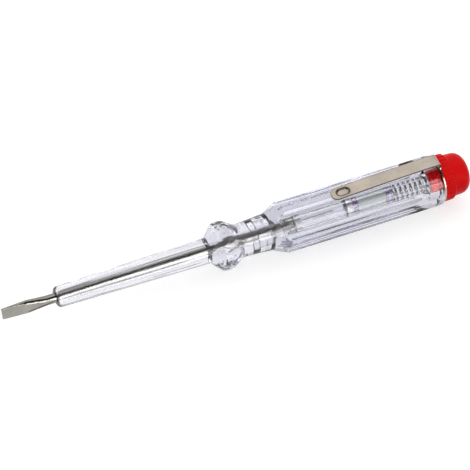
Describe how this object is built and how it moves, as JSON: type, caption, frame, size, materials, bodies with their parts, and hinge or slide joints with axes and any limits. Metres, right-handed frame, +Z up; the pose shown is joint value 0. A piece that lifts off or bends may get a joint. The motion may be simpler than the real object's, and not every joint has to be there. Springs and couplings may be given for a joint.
{
  "type": "voltage tester screwdriver",
  "caption": "Clear mains voltage tester with a slotted screwdriver blade, glow lamp, series resistor, red screw cap and metal pocket clip.",
  "frame": {"origin": "middle of the blade's tip face, on the tool's axis", "axes": "+X along the tool from the tip to the touch contact, +Z up towards the pocket clip, +Y to the right seen from the cap"},
  "size_m": [0.14, 0.0146, 0.016],
  "materials": {
    "blade_steel": "satin nickel plate",
    "clear_plastic": "clear polished",
    "lamp_glass": "clear",
    "plated_contact": "tinned",
    "violet_contact": "lacquered",
    "resistor_ceramic": "lacquered",
    "spring_steel": "drawn wire",
    "red_plastic": "moulded",
    "clip_nickel": "satin nickel plate"
  },
  "bodies": {
    "tester": {"blade": "blade_steel", "blade_sleeve": "clear_plastic", "handle": "clear_plastic", "lamp_front_cap": "plated_contact", "lamp_glass": "lamp_glass", "lamp_front_electrode": "plated_contact", "lamp_rear_electrode": "plated_contact", "lamp_rear_cap": "plated_contact", "resistor_front_cap": "violet_contact", "resistor_body": "resistor_ceramic", "resistor_rear_cap": "violet_contact", "contact_spring": "spring_steel"},
    "touch_contact": {"touch_contact": "plated_contact"},
    "cap": {"cap": "red_plastic"},
    "clip_ring": {"clip_ring": "clip_nickel"},
    "clip_arm": {"clip_arm": "clip_nickel"}
  },
  "joints": [
    {"name": "cap_travel", "type": "slide", "parent": "tester", "child": "touch_contact", "axis": [1, 0, 0], "range_m": [0, 0.003], "deforming": ["contact_spring"]},
    {"name": "cap_turn", "type": "hinge", "parent": "touch_contact", "child": "cap", "pos_m": [0.136, 0, 0], "axis": [1, 0, 0], "range_deg": [0, 1080]},
    {"name": "clip_swivel", "type": "hinge", "parent": "tester", "child": "clip_ring", "pos_m": [0.13087, 0, 0], "axis": [1, 0, 0], "continuous": true},
    {"name": "clip_flex", "type": "hinge", "parent": "clip_ring", "child": "clip_arm", "pos_m": [0.13105, -0.00057, 0.00719], "axis": [0, 0.9969, 0.0785], "range_deg": [0, 4], "stiffness_Nm_per_rad": 0.44}
  ],
  "couplings": [
    {"joint": "cap_turn", "follows": "cap_travel", "rad_per_m": 6283.2}
  ]
}
